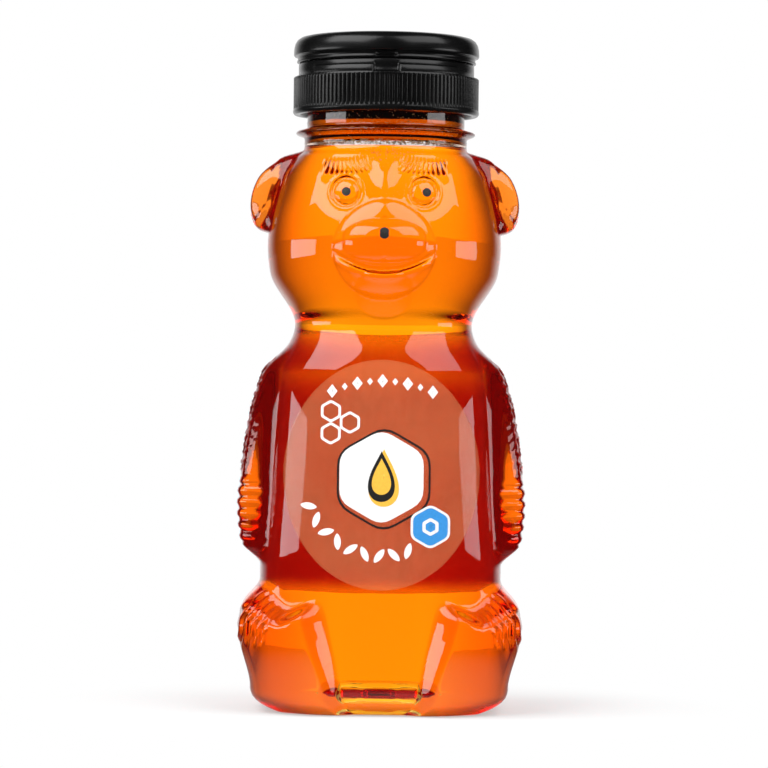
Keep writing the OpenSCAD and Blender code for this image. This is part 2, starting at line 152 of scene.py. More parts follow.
def oval(x, z, middle_x, middle_z, half_w, half_h, power=2.0):
    """Distance from the middle of an oval, 1 on its outline."""
    dx = np.abs((x - middle_x) / half_w) ** power
    dz = np.abs((z - middle_z) / half_h) ** power
    return (dx + dz) ** (1.0 / power)


def bump(distance, width):
    """A soft ridge where distance is near zero."""
    return np.exp(-(distance / width) ** 2)


# ---------------------------------------------------------------- shape of the bear

ARM_Z = LEGS_H + 0.3 * TORSO_H
CHEST_Z = LEGS_H + 0.8 * TORSO_H
CHEEK_Z = WAIST_Z + 0.45 * HEAD_H
BROW_Z = WAIST_Z + 0.84 * HEAD_H
SHOULDER_R = NECK_FOOT_R + 0.4

WIDTH_KNOTS = [
    (0, CREASE_W / 2 - 0.4), (LEGS_H, CREASE_W / 2 - 0.3), (ARM_Z, CREASE_W / 2 - 1.2),
    (CHEST_Z, CREASE_W / 2 - 3.2), (WAIST_Z, WAIST_W / 2), (WAIST_Z + 0.3 * HEAD_H, HEAD_W / 2 - 0.6),
    (CHEEK_Z, HEAD_W / 2), (BROW_Z, HEAD_W / 2 - 2.8), (BEAR_H - 1.6, SHOULDER_R + 1.6),
    (BEAR_H, SHOULDER_R)]
DEPTH_KNOTS = [
    (0, TORSO_D / 2 - 1), (ARM_Z, TORSO_D / 2), (CHEST_Z, TORSO_D / 2 - 2),
    (WAIST_Z, WAIST_W / 2 - 0.8), (WAIST_Z + 0.3 * HEAD_H, HEAD_D / 2 - 0.6), (CHEEK_Z, HEAD_D / 2),
    (BROW_Z, HEAD_D / 2 - 2), (BEAR_H - 1.6, SHOULDER_R + 1.4), (BEAR_H, SHOULDER_R)]
SQUARE_KNOTS = [(0, 2.8), (CHEST_Z, 2.7), (WAIST_Z, 2.3), (CHEEK_Z, 2.2), (BEAR_H - 1.6, 2), (BEAR_H, 2)]
ARM_KNOTS = [
    (LEGS_H + 0.8, 0), (LEGS_H + 5.5, 0.72), (ARM_Z, 1), (LEGS_H + 0.62 * TORSO_H, 0.8),
    (CHEST_Z, 0.5), (WAIST_Z - 3.5, 0)]
THIGH_KNOTS = [
    (0, 0.42), (0.18 * LEGS_H, 0.42), (0.58 * LEGS_H, 1), (0.75 * LEGS_H, 0.78), (0.93 * LEGS_H, 0)]
LEG_TOP_KNOTS = [
    (0.153 * LEGS_W, 0.745 * LEGS_H), (0.219 * LEGS_W, 0.785 * LEGS_H), (0.304 * LEGS_W, 0.725 * LEGS_H),
    (0.426 * LEGS_W, 0.89 * LEGS_H), (0.536 * LEGS_W, 0.92 * LEGS_H)]
LEG_INNER_KNOTS = [
    (0, 0.117 * LEGS_W), (0.18 * LEGS_H, 0.126 * LEGS_W), (0.74 * LEGS_H, 0.183 * LEGS_W),
    (0.93 * LEGS_H, 0.199 * LEGS_W)]


def plain_radius(angle, z):
    """Radius of the plain body at an angle in degrees from the front."""
    w = curve(WIDTH_KNOTS, z)
    d = curve(DEPTH_KNOTS, z)
    n = curve(SQUARE_KNOTS, z)
    a = np.radians(angle)
    return (np.abs(np.sin(a) / w) ** n + np.abs(np.cos(a) / d) ** n) ** (-1.0 / n)


def angle_at(x, z):
    """Angle from the front at which the plain body is x wide."""
    w = curve(WIDTH_KNOTS, z)
    d = curve(DEPTH_KNOTS, z)
    n = curve(SQUARE_KNOTS, z)
    share = np.clip(np.abs(x) / w, 0, 0.9999)
    return np.degrees(np.arctan2(x, d * (1.0 - share**n) ** (1.0 / n)))


def arm_form(side, z):
    out = (ARMS_W - CREASE_W) / 2 + 1.2
    return out * curve(ARM_KNOTS, z) * window(side, 67, 114, 7)


def leg_form(side, x, z):
    thigh = ((LEGS_W - CREASE_W) / 2 + 0.35) * curve(THIGH_KNOTS, z) * window(side, 62, 124, 14)
    top = rise(curve(LEG_TOP_KNOTS, x) - z, -1.2, 3.4)
    inner = rise(x - curve(LEG_INNER_KNOTS, z), 0.0, 3.6)
    outer = 1.0 - rise(side, 57, 76)
    lean = 0.62 + 0.38 * rise(z, 2, 17)
    return thigh + LEG_OUT * lean * top * inner * outer


def ear_form(side, z):
    share = np.clip(1.0 - ((z - EAR_Z) / EAR_HALF_H) ** 2, 0.0, 1.0) ** 0.6
    return ((EARS_W - HEAD_W) / 2 + 1.4) * share * window(side, 79, 104, 5)


def muzzle_form(x, z, front):
    body = np.clip(1.0 - oval(x, z, 0, MUZZLE_Z, 11.2, 10.9) ** 2.6, 0.0, 1.0) ** 0.65
    nose = np.clip(1.0 - oval(x, z, 0, NOSE_Z - 1.3, 8.6, 4.7, 2.4) ** 3, 0.0, 1.0) ** 0.7
    chin = np.clip(1.0 - oval(x, z, 0, CHIN_Z, 6.2, 5.4) ** 2, 0.0, 1.0) ** 0.8
    return MUZZLE_OUT * (0.55 * body + 0.47 * nose) * front + 0.9 * chin * front


def foot_cut(z):
    return 6.5 * np.clip(1.0 - z / 5.0, 0.0, 1.0) ** 2.2


def folded(angle):
    return np.abs((angle + 180.0) % 360.0 - 180.0)


def bear_form(angle, z):
    """Radius of the moulded body with its limbs, without the fine relief."""
    side = folded(angle)
    plain = plain_radius(angle, z)
    x = np.abs(plain * np.sin(np.radians(angle)))
    front = np.where(side < 90, 1.0, 0.0)
    return (plain + arm_form(side, z) + leg_form(side, x, z) + ear_form(side, z)
            + muzzle_form(x, z, front) - foot_cut(z))


# ---------------------------------------------------------------- fine relief

def eye_relief(x, z):
    d = np.hypot(x - EYE_X, z - EYE_Z)
    socket = -0.8 * np.clip(1.0 - (d / 6.6) ** 2, 0.0, 1.0) ** 1.5
    ball = 1.1 * np.clip(1.0 - (d / 2.75) ** 2, 0.0, 1.0) ** 0.5
    groove = -0.3 * bump(d - 3.0, 0.3)
    ring = 0.25 * bump(d - 3.7, 0.35)
    return socket + ball + groove + ring


def brow_relief(x, z):
    middle = EYE_Z + 5.7 - 0.05 * (x - 8.2) + 0.012 * (x - 8.2) ** 2
    height = z - middle
    mask = window(x, 3.6, 13.2, 0.8) * window(height, -1.5, 1.5, 0.45)
    lean = 0.45 * (x - 8.5)
    hairs = np.cos(2 * math.pi * (x + lean * height / 4.0 - 0.1 * height) / 0.95)
    return mask * (0.35 + 0.5 * hairs)


def mouth_relief(x, z):
    line = SMILE_Z + 0.0315 * x**2
    along = window(x, -10.4, 10.4, 1.4)
    groove = -1.0 * bump(z - line, 0.5) * along
    lip = 0.65 * bump(z - line + 1.5, 0.8) * along
    cleft = -0.35 * bump(x, 0.45) * window(z, SMILE_Z - 0.4, SMILE_Z + 2.6, 0.7)
    return groove + lip + cleft


def bridge_relief(x, z):
    return 0.9 * bump(x, 2.4) * window(z, NOSE_Z + 4.6, NOSE_Z + 13.0, 2.6)


def ear_relief(side, z):
    d = oval(side, z, 88.0, EAR_Z, 12.0, EAR_HALF_H)
    rim = 0.45 * bump(d - 0.92, 0.06)
    return rim * window(side, 74, 102, 4)


def fur_relief(side, z):
    """Curly strokes on the arm, above the paw."""
    across = side * 0.47
    wave = 1.3 * np.sin(2 * math.pi * across / 5.2)
    ridges = np.cos(2 * math.pi * (z + wave) / 2.15)
    breaks = 0.6 + 0.4 * np.cos(2 * math.pi * (across + 0.35 * z) / 2.6)
    mask = window(side, 72, 112, 3.5) * window(z, LEGS_H + 21.5, WAIST_Z - 7.5, 1.4)
    return 0.42 * mask * ridges * breaks


def paw_relief(side, z):
    """Six fingers along the front edge of the paw."""
    pitch = 2.55
    finger = np.abs(np.cos(math.pi * (z - LEGS_H - 4.5) / pitch)) ** 0.7
    mask = window(side, 64, 79, 3.0) * window(z, LEGS_H + 5.0, LEGS_H + 19.6, 0.8)
    return mask * (0.95 * finger - 0.35)


def thigh_relief(x, z, side):
    """Nested arcs of fur on the outer thigh."""
    dx = x - 19.4
    dz = z - 16.2
    ring = np.hypot(dx, dz)
    turn = np.degrees(np.arctan2(dz, dx))
    strokes = np.cos(2 * math.pi * (ring + 0.25 * np.sin(turn * 0.2)) / 1.45)
    mask = window(ring, 6.0, 13.0, 0.8) * window(turn, -4.0, 64.0, 6.0) * (1.0 - rise(side, 96, 108))
    return 0.33 * mask * strokes


def fine_relief(angle, z, form):
    side = folded(angle)
    x = form * np.abs(np.sin(np.radians(angle)))
    front = np.where(side < 80, 1.0, 0.0)
    face = front * (eye_relief(x, z) + brow_relief(x, z) + mouth_relief(x, z) + bridge_relief(x, z))
    return face + ear_relief(side, z) + fur_relief(side, z) + paw_relief(side, z) + thigh_relief(x, z, side)


def around(angle, radius, z):
    """Points in metres from an angle, a radius and a height."""
    a = np.radians(angle)
    points = np.stack([radius * np.sin(a), -radius * np.cos(a), z + 0.0 * a], axis=-1)
    return points * MM


# ---------------------------------------------------------------- mesh helpers

def add_object(name, points, faces, smooth_faces=True):
    mesh = bpy.data.meshes.new(name)
    mesh.from_pydata([tuple(p) for p in points], [], [tuple(int(i) for i in f) for f in faces])
    mesh.update()
    if smooth_faces:
        mesh.shade_smooth()
    piece = bpy.data.objects.new(name, mesh)
    bpy.context.scene.collection.objects.link(piece)
    return piece


def stack(rows, caps=True):
    """Points and faces of a stack of equal rings, closed at both ends by a fan."""
    count = len(rows[0])
    points = np.concatenate(rows)
    i = np.arange(count)
    k = (i + 1) % count
    faces = []
    for j in range(len(rows) - 1):
        low = j * count
        high = low + count
        faces.extend(np.stack([low + i, low + k, high + k, high + i], axis=1).tolist())
    if caps:
        first = len(points)
        points = np.concatenate([points, [rows[0].mean(axis=0)], [rows[-1].mean(axis=0)]])
        last = (len(rows) - 1) * count
        faces.extend([k[n], i[n], first] for n in range(count))
        faces.extend([last + i[n], last + k[n], first + 1] for n in range(count))
    return points, faces


def lathe(profile, angles):
    """Rings from a profile of (radius, height) pairs in millimetres."""
    return [around(angles, np.full(len(angles), float(r)), z) for r, z in profile]


def spaced(start, end, step):
    return np.linspace(start, end, max(2, int(round((end - start) / step)) + 1))


def closed_lathe(name, profile, count):
    """A ring-shaped solid: the profile is a closed outline."""
    angles = np.arange(count) * 360.0 / count
    rows = lathe(profile, angles)
    points = np.concatenate(rows)
    i = np.arange(count)
    k = (i + 1) % count
    faces = []
    for j in range(len(rows)):
        low = j * count
        high = ((j + 1) % len(rows)) * count
        faces.extend(np.stack([low + i, low + k, high + k, high + i], axis=1).tolist())
    return add_object(name, points, faces)


def rounded_outline(corners, radius, steps=4):
    """A closed outline with each corner rounded by a short arc."""
    outline = []
    count = len(corners)
    for n in range(count):
        p = Vector(corners[n])
        before = (Vector(corners[n - 1]) - p)
        after = (Vector(corners[(n + 1) % count]) - p)
        cut = min(radius, 0.45 * before.length, 0.45 * after.length)
        start = p + before.normalized() * cut
        end = p + after.normalized() * cut
        for s in range(steps + 1):
            t = s / steps
            q = start * (1 - t) ** 2 + p * (2 * t * (1 - t)) + end * t * t
            outline.append((q.x, q.y))
    return outline


# ---------------------------------------------------------------- materials

def new_material(name, color, roughness, ior=1.5):
    material = bpy.data.materials.new(name)
    material.use_nodes = True
    shader = material.node_tree.nodes["Principled BSDF"]
    shader.inputs["Base Color"].default_value = (*color, 1.0)
    shader.inputs["Roughness"].default_value = roughness
    shader.inputs["IOR"].default_value = ior
    return material, shader


def add_node(material, kind, **values):
    node = material.node_tree.nodes.new(kind)
    for key, value in values.items():
        node.inputs[key].default_value = value
    return node


def link(material, output, target):
    material.node_tree.links.new(output, target)


def noise_of(material, scale, detail=3.0, stretch=(1.0, 1.0, 1.0)):
    """Noise in the object's own space."""
    place = add_node(material, "ShaderNodeTexCoord")
    mapping = add_node(material, "ShaderNodeMapping", Scale=stretch)
    noise = add_node(material, "ShaderNodeTexNoise", Scale=scale, Detail=detail)
    link(material, place.outputs["Object"], mapping.inputs["Vector"])
    link(material, mapping.outputs["Vector"], noise.inputs["Vector"])
    return noise.outputs["Fac"]


def add_bump(material, shader, height, strength, distance):
    node = add_node(material, "ShaderNodeBump", Strength=strength, Distance=distance)
    link(material, height, node.inputs["Height"])
    link(material, node.outputs["Normal"], shader.inputs["Normal"])


def vary(material, target, fac, low, high):
    """Drives a number socket between two values by a 0 to 1 field."""
    node = add_node(material, "ShaderNodeMapRange")
    node.inputs["From Min"].default_value = 0.3
    node.inputs["From Max"].default_value = 0.7
    node.inputs["To Min"].default_value = low
    node.inputs["To Max"].default_value = high
    link(material, fac, node.inputs["Value"])
    link(material, node.outputs["Result"], target)


def vary_color(material, shader, fac, low, high):
    ramp = add_node(material, "ShaderNodeValToRGB")
    ramp.color_ramp.elements[0].position = 0.35
    ramp.color_ramp.elements[1].position = 0.65
    ramp.color_ramp.elements[0].color = (*low, 1.0)
    ramp.color_ramp.elements[1].color = (*high, 1.0)
    link(material, fac, ramp.inputs["Fac"])
    link(material, ramp.outputs["Color"], shader.inputs["Base Color"])


def clear_plastic(name, ior):
    material, shader = new_material(name, (1.0, 0.99, 0.98), 0.02, ior)
    shader.inputs["Transmission Weight"].default_value = 1.0
    waves = noise_of(material, 90.0, 2.0, (1.0, 1.0, 0.5))
    add_bump(material, shader, waves, 0.22, 0.0008)
    vary(material, shader.inputs["Roughness"], noise_of(material, 400.0), 0.0, 0.03)
    # Painted shade: the clear plastic's colour turns orange-brown from 8 mm out to 25 mm out to either side, so the
    # bottle's sides render darker and redder than its middle
    place = add_node(material, "ShaderNodeTexCoord")
    split = add_node(material, "ShaderNodeSeparateXYZ")
    link(material, place.outputs["Object"], split.inputs["Vector"])
    width = add_node(material, "ShaderNodeMath")
    width.operation = "ABSOLUTE"
    link(material, split.outputs["X"], width.inputs[0])
    share = add_node(material, "ShaderNodeMapRange")
    share.interpolation_type = "SMOOTHSTEP"
    share.inputs["From Min"].default_value = 8.0 * MM
    share.inputs["From Max"].default_value = 25.0 * MM
    link(material, width.outputs["Value"], share.inputs["Value"])
    ramp = add_node(material, "ShaderNodeValToRGB")
    ramp.color_ramp.elements[0].color = (1.0, 0.99, 0.98, 1.0)
    ramp.color_ramp.elements[1].color = (0.84, 0.50, 0.30, 1.0)
    link(material, share.outputs["Result"], ramp.inputs["Fac"])
    link(material, ramp.outputs["Color"], shader.inputs["Base Color"])
    return material


def honey_material(name, density, tint, dry_axis, dry_from, dry_to):
    """Honey bends light at its free face alone: where it wets the wall, the wall's own index counts."""
    material, shader = new_material(name, (1.0, 1.0, 1.0), 0.0, HONEY_IOR)
    shader.inputs["Transmission Weight"].default_value = 1.0
    add_bump(material, shader, noise_of(material, 60.0, 1.0), 0.12, 0.0008)
    place = add_node(material, "ShaderNodeTexCoord")
    split = add_node(material, "ShaderNodeSeparateXYZ")
    link(material, place.outputs["Object"], split.inputs["Vector"])
    source = split.outputs["Z"]
    if dry_axis == "radius":
        flat = add_node(material, "ShaderNodeCombineXYZ")
        link(material, split.outputs["X"], flat.inputs["X"])
        link(material, split.outputs["Y"], flat.inputs["Y"])
        length = add_node(material, "ShaderNodeVectorMath")
        length.operation = "LENGTH"
        link(material, flat.outputs["Vector"], length.inputs[0])
        source = length.outputs["Value"]
    index = add_node(material, "ShaderNodeMapRange")
    index.inputs["From Min"].default_value = dry_from * MM
    index.inputs["From Max"].default_value = dry_to * MM
    index.inputs["To Min"].default_value = 1.0 if dry_axis == "height" else HONEY_IOR
    index.inputs["To Max"].default_value = HONEY_IOR if dry_axis == "height" else 1.0
    link(material, source, index.inputs["Value"])
    link(material, index.outputs["Result"], shader.inputs["IOR"])
    absorb = add_node(material, "ShaderNodeVolumeAbsorption", Color=(*tint, 1.0), Density=density)
    output = material.node_tree.nodes["Material Output"]
    link(material, absorb.outputs["Volume"], output.inputs["Volume"])
    return material


def foam_material():
    material, shader = new_material("froth", (1.0, 0.8, 0.4), 0.25, 1.33)
    shader.inputs["Transmission Weight"].default_value = 0.3
    vary_color(material, shader, noise_of(material, 900.0), (0.95, 0.55, 0.12), (1.0, 0.9, 0.62))
    add_bump(material, shader, noise_of(material, 2500.0), 0.3, 0.0001)
    return material


def film_material():
    material, shader = new_material("label_film", (0.9, 0.4, 0.15), 0.42, 1.4)
    grain = noise_of(material, 1400.0, 4.0)
    vary(material, shader.inputs["Alpha"], noise_of(material, 55.0, 2.0), 0.09, 0.13)
    add_bump(material, shader, grain, 0.12, 0.00005)
    return material


def back_label_material():
    """The reverse of the label glows red where light comes through it, and thins towards its ends."""
    material, shader = new_material("label_back", (0.95, 0.09, 0.02), 0.9, 1.1)
    shader.inputs["Transmission Weight"].default_value = 0.46
    fibres = noise_of(material, 700.0, 5.0, (1.0, 1.0, 0.35))
    vary_color(material, shader, fibres, (0.9, 0.07, 0.012), (1.0, 0.11, 0.028))
    add_bump(material, shader, fibres, 0.15, 0.00005)
    place = add_node(material, "ShaderNodeTexCoord")
    split = add_node(material, "ShaderNodeSeparateXYZ")
    link(material, place.outputs["Object"], split.inputs["Vector"])
    ends = []
    for low, high, least in ((LABEL_Z - BACK_HALF_H, LABEL_Z - BACK_HALF_H + 4.0, 0.4),
                             (LABEL_Z + BACK_HALF_H - 2.0, LABEL_Z + BACK_HALF_H - 14.0, 0.45)):
        fade = add_node(material, "ShaderNodeMapRange")
        fade.interpolation_type = "SMOOTHSTEP"
        fade.inputs["From Min"].default_value = low * MM
        fade.inputs["From Max"].default_value = high * MM
        fade.inputs["To Min"].default_value = least
        link(material, split.outputs["Z"], fade.inputs["Value"])
        ends.append(fade.outputs["Result"])
    both = add_node(material, "ShaderNodeMath")
    both.operation = "MULTIPLY"
    link(material, ends[0], both.inputs[0])
    link(material, ends[1], both.inputs[1])
    link(material, both.outputs["Value"], shader.inputs["Alpha"])
    return material


def ink_material(name, color):
    material, shader = new_material(name, color, 0.45, 1.5)
    fleck = noise_of(material, 2600.0, 4.0)
    vary_color(material, shader, fleck, tuple(0.93 * c for c in color), tuple(min(1.0, 1.04 * c) for c in color))
    vary(material, shader.inputs["Roughness"], fleck, 0.38, 0.55)
    return material


def black_plastic():
    material, shader = new_material("black_plastic", (0.003, 0.003, 0.0031), 0.24, 1.44)
    grain = noise_of(material, 3200.0, 4.0)
    cloud = noise_of(material, 120.0, 3.0)
    vary_color(material, shader, cloud, (0.002, 0.002, 0.0021), (0.004, 0.004, 0.0041))
    vary(material, shader.inputs["Roughness"], cloud, 0.2, 0.27)
    add_bump(material, shader, grain, 0.2, 0.00004)
    return material


def seal_foam():
    material, shader = new_material("seal_foam", (0.9, 0.9, 0.88), 0.85, 1.45)
    cells = noise_of(material, 1500.0, 5.0)
    vary_color(material, shader, cells, (0.8, 0.8, 0.78), (0.93, 0.93, 0.91))
    add_bump(material, shader, cells, 0.6, 0.0002)
    return material


PET_IOR = 1.57
HONEY_IOR = 1.49
PET = clear_plastic("clear_plastic", PET_IOR)
WET_PET = clear_plastic("clear_plastic_wetted", PET_IOR / HONEY_IOR)
HONEY = honey_material("honey", 205.0, (0.989, 0.811, 0.08), "height", HONEY_TOP_Z - 0.32, HONEY_TOP_Z - 0.28)
NECK_HONEY = honey_material("neck_honey", 450.0, (0.95, 0.80, 0.08), "radius", 15.40, 15.45)
FROTH = foam_material()
FILM = film_material()
BACK = back_label_material()
BLACK = black_plastic()
FOAM = seal_foam()
INK_BLACK = ink_material("ink_black", (0.015, 0.014, 0.014))
INK_WHITE = ink_material("ink_white", (0.9, 0.89, 0.88))
INK_BLUE = ink_material("ink_blue", (0.03, 0.30, 0.75))
INK_GOLD = ink_material("ink_gold", (0.95, 0.52, 0.05))


def dress(piece, material, slot, body, *nodes):
    """Gives a piece its material and its body, and hides the nodes that it stands for. The slot is not used."""
    piece.data.materials.clear()
    piece.data.materials.append(material)
    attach(piece, body)
    if nodes:
        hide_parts(*nodes)


# ---------------------------------------------------------------- the bottle

def mirrored_angles(*spans):
    """Angles round the bear: finer where it has detail. Each span is (start, end, step) on one side."""
    half = np.concatenate([np.arange(a, b, s) for a, b, s in spans])
    return np.concatenate([half, [180.0], 360.0 - half[:0:-1]])


def thread_relief(angle, z):
    start = MOUTH_Z - 2.4 - THREAD_TURNS * THREAD_PITCH
    turn = (90.0 + angle) % 360.0
    total = 0.0
    for lap in range(2):
        travel = turn + 360.0 * lap - 90.0
        middle = start + THREAD_PITCH * travel / 360.0
        ends = window(travel, 20.0, THREAD_TURNS * 360.0 - 20.0, 20.0)
        total = total + ends * (1.0 - rise(np.abs(z - middle), 0.45, 1.05))
    return (THREAD_R - NECK_R) * np.clip(total, 0.0, 1.0)


def floor_rise(share):
    """Height of the base above the table, from its middle (0) to its edge (1)."""
    return 5.2 * (1.0 - rise(share, 0.35, 0.72))


def build_bottle():
    angles = mirrored_angles((0, 58, 0.6), (58, 116, 1.05), (116, 180, 3.0))
    levels = np.concatenate([
        [0.0, 0.25, 0.7, 1.2, 1.9, 2.7, 3.6, 4.6],
        spaced(5.4, 34.0, 0.62), spaced(34.6, 86.0, 0.66)[:], spaced(86.6, 92.0, 0.5),
        spaced(92.4, BEAR_H - 0.1, 0.34)])
    rows = []
    base = bear_form(angles, 0.0)
    for share in (0.04, 0.2, 0.35, 0.42, 0.5, 0.58, 0.65, 0.72, 0.85):
        rows.append(around(angles, share * base, floor_rise(share)))
    for z in levels:
        form = bear_form(angles, z)
        rows.append(around(angles, form + fine_relief(angles, z, form), z))
    neck = [(NECK_FOOT_R + 0.1, BEAR_H + 0.35), (NECK_FOOT_R, BEAR_H + 0.9), (NECK_FOOT_R, RING_Z - 0.35),
            (NECK_FOOT_R + 0.25, RING_Z - 0.05), (RING_R - 0.35, RING_Z + 0.45), (RING_R, RING_Z + 0.75),
            (RING_R, RING_Z + 1.05), (RING_R - 0.35, RING_Z + 1.35), (NECK_R + 0.35, FINISH_Z - 0.05),
            (NECK_R, FINISH_Z + 0.3)]
    rows.extend(lathe(neck, angles))
    for z in spaced(FINISH_Z + 0.8, MOUTH_Z - 0.9, 0.5):
        rows.append(around(angles, NECK_R + thread_relief(angles, z), z))
    mouth = [(NECK_R, MOUTH_Z - 0.5), (NECK_R - 0.2, MOUTH_Z - 0.15), (NECK_R - 0.5, MOUTH_Z),
             (BORE_R + 0.3, MOUTH_Z), (BORE_R, MOUTH_Z - 0.3)]
    rows.extend(lathe(mouth, angles))
    plug_row = len(rows)
    rows.extend(lathe([(BORE_R, PLUG_TOP_Z), (BORE_R, PLUG_FOOT_Z), (BORE_R, RING_Z - 2.0)], angles))
    wet_row = len(rows)
    rows.extend(lathe([(BORE_R + 0.1, HONEY_TOP_Z), (BORE_R + 0.5, BEAR_H - 0.2)], angles))
    for z in inner_levels()[::-1]:
        rows.append(around(angles, bear_form(angles, z) - WALL, z))
    inner_base = bear_form(angles, FLOOR_T) - WALL
    for share in (0.85, 0.72, 0.65, 0.58, 0.5, 0.42, 0.35, 0.2, 0.04):
        rows.append(around(angles, share * inner_base, FLOOR_T + floor_rise(share)))
    points, faces = stack(rows)
    bottle = add_object("clear_bottle", points, faces)
    dress(bottle, PET, "pet", "bottle", "bottle")
    bottle.data.materials.append(WET_PET)
    count = len(angles)
    wet = np.zeros(len(faces), dtype=np.int32)
    wet[plug_row * count:(plug_row + 1) * count] = 1
    wet[wet_row * count:(len(rows) - 1) * count] = 1
    wet[-count:] = 1
    bottle.data.polygons.foreach_set("material_index", wet)


def inner_levels():
    return np.concatenate([[1.4, 1.9, 2.6, 3.6, 4.8], spaced(6.0, BEAR_H - 1.2, 1.9)])


def build_honey():
    lap = 0.05
    angles = mirrored_angles((0, 58, 1.44), (58, 116, 2.3), (116, 180, 4.5))
    rows = []
    base = bear_form(angles, FLOOR_T) - WALL
    for share in (0.04, 0.2, 0.35, 0.42, 0.5, 0.58, 0.65, 0.72, 0.85):
        rows.append(around(angles, share * base, FLOOR_T - lap + floor_rise(share)))
    for z in inner_levels():
        low = FLOOR_T - lap if z == 1.4 else z
        rows.append(around(angles, bear_form(angles, z) - WALL + lap, low))
    top = [(BORE_R + 0.6, BEAR_H - 0.15), (BORE_R + 0.15, HONEY_TOP_Z), (BORE_R - 0.5, HONEY_TOP_Z - 0.15),
           (BORE_R - 2.5, HONEY_TOP_Z - 0.25), (6.0, HONEY_TOP_Z - 0.28), (0.5, HONEY_TOP_Z - 0.28)]
    rows.extend(lathe(top, angles))
    honey = add_object("honey_fill", *stack(rows))
    dress(honey, HONEY, "honey", "bottle", "honey")


def build_neck_honey():
    """Honey that clings in the neck, above a thin gap of air."""
    angles = np.arange(120) * 3.0
    foot = PLUG_FOOT_Z + 0.1
    profile = [(0.5, foot + 1.3), (6.0, foot + 1.2), (11.0, foot + 0.9), (13.8, foot + 0.4), (15.0, foot),
               (BORE_R + 0.05, foot - 0.1), (BORE_R + 0.05, foot + 1.0), (BORE_R + 0.05, FINISH_Z + 2.0),
               (BORE_R + 0.05, PLUG_TOP_Z), (BORE_R - 0.3, PLUG_TOP_Z + 0.3), (0.5, PLUG_TOP_Z + 0.3)]
    piece = add_object("neck_honey", *stack(lathe(profile, angles)))
    dress(piece, NECK_HONEY, "honey", "bottle")


def ball(points_out, faces_out, middle, radius):
    """Adds a small round bubble, 12 corners and 20 faces, to the lists."""
    start = len(points_out)
    t = (1.0 + 5.0**0.5) / 2.0
    corners = [(-1, t, 0), (1, t, 0), (-1, -t, 0), (1, -t, 0), (0, -1, t), (0, 1, t),
               (0, -1, -t), (0, 1, -t), (t, 0, -1), (t, 0, 1), (-t, 0, -1), (-t, 0, 1)]
    sides = [(0, 11, 5), (0, 5, 1), (0, 1, 7), (0, 7, 10), (0, 10, 11), (1, 5, 9), (5, 11, 4),
             (11, 10, 2), (10, 7, 6), (7, 1, 8), (3, 9, 4), (3, 4, 2), (3, 2, 6), (3, 6, 8),
             (3, 8, 9), (4, 9, 5), (2, 4, 11), (6, 2, 10), (8, 6, 7), (9, 8, 1)]
    for c in corners:
        points_out.append(middle + Vector(c).normalized() * radius)
    for f in sides:
        faces_out.append([start + n for n in f])


def build_froth():
    rng = random.Random(7)
    points = []
    faces = []
    for _ in range(900):
        angle = rng.uniform(0, 360)
        z = PLUG_FOOT_Z + rng.gauss(-0.05, 0.34)
        r = BORE_R - 0.25 - abs(rng.gauss(0, 0.25))
        size = rng.uniform(0.08, 0.24)
        ball(points, faces, Vector(around(np.array([angle]), np.array([r]), z)[0]), size * MM)
    for _ in range(240):
        angle = rng.gauss(12, 32)
        z = FINISH_Z + abs(rng.gauss(0, 1.3))
        size = rng.uniform(0.05, 0.14)
        ball(points, faces, Vector(around(np.array([angle]), np.array([BORE_R - 0.35]), z)[0]), size * MM)
    for _ in range(170):
        angle = rng.gauss(2, 15)
        z = BEAR_H - abs(rng.gauss(0, 1.7)) - 0.5
        r = float(bear_form(np.array([angle]), z)[0]) - WALL - rng.uniform(0.2, 1.2)
        size = rng.uniform(0.05, 0.15)
        ball(points, faces, Vector(around(np.array([angle]), np.array([r]), z)[0]), size * MM)
    piece = add_object("froth", points, faces)
    dress(piece, FROTH, "honey", "bottle")


# ---------------------------------------------------------------- labels and prints

def label_points(x, z, lift, back=False):
    angle = angle_at(x, z)
    form = bear_form(angle, z) + lift
    if back:
        angle = 180.0 - angle
        form = bear_form(angle, z) + lift
    return around(angle, form, z)


def disc_grid(outline_x, outline_z, shares):
    """Rings of an outline scaled about its middle, with strip faces between them."""
    count = len(outline_x)
    i = np.arange(count)
    k = (i + 1) % count
    x = np.concatenate([s * outline_x for s in shares])
    z = np.concatenate([s * outline_z for s in shares])
    faces = []
    for j in range(len(shares) - 1):
        low = j * count
        high = low + count
        faces.extend(np.stack([low + i, high + i, high + k, low + k], axis=1).tolist())
    return x, z, faces


def oval_outline(half_w, half_h, power, count):
    turn = np.arange(count) * 2 * math.pi / count
    c, s = np.cos(turn), np.sin(turn)
    return (half_w * np.sign(c) * np.abs(c) ** (2 / power), half_h * np.sign(s) * np.abs(s) ** (2 / power))


def build_label(name, half_w, half_h, power, back, material, slot, node):
    ox, oz = oval_outline(half_w, half_h, power, 96)
    x, z, faces = disc_grid(ox, oz, np.linspace(0.02, 1.0, 26))
    thick = 0.12
    gap = -0.03 if back else 0.13
    outer = label_points(x, z + LABEL_Z, gap + thick, back)
    inner = label_points(x, z + LABEL_Z, gap, back)
    count = len(outer)
    ring = 96
    faces = [list(range(ring))[::-1]] + [f[::-1] for f in faces]
    if not back:
        faces = [f[::-1] for f in faces]
        faces = [f[::-1] for f in faces]
    under = [[count + n for n in f[::-1]] for f in faces]
    start = count - ring
    edge = [[start + n, start + (n + 1) % ring, count + start + (n + 1) % ring, count + start + n]
            for n in range(ring)]
    piece = add_object(name, np.concatenate([outer, inner]), faces + under + edge)
    fix_normals(piece)
    dress(piece, material, slot, "bottle", node)


def fix_normals(piece):
    import bmesh
    work = bmesh.new()
    work.from_mesh(piece.data)
    bmesh.ops.recalc_face_normals(work, faces=work.faces)
    work.to_mesh(piece.data)
    work.free()


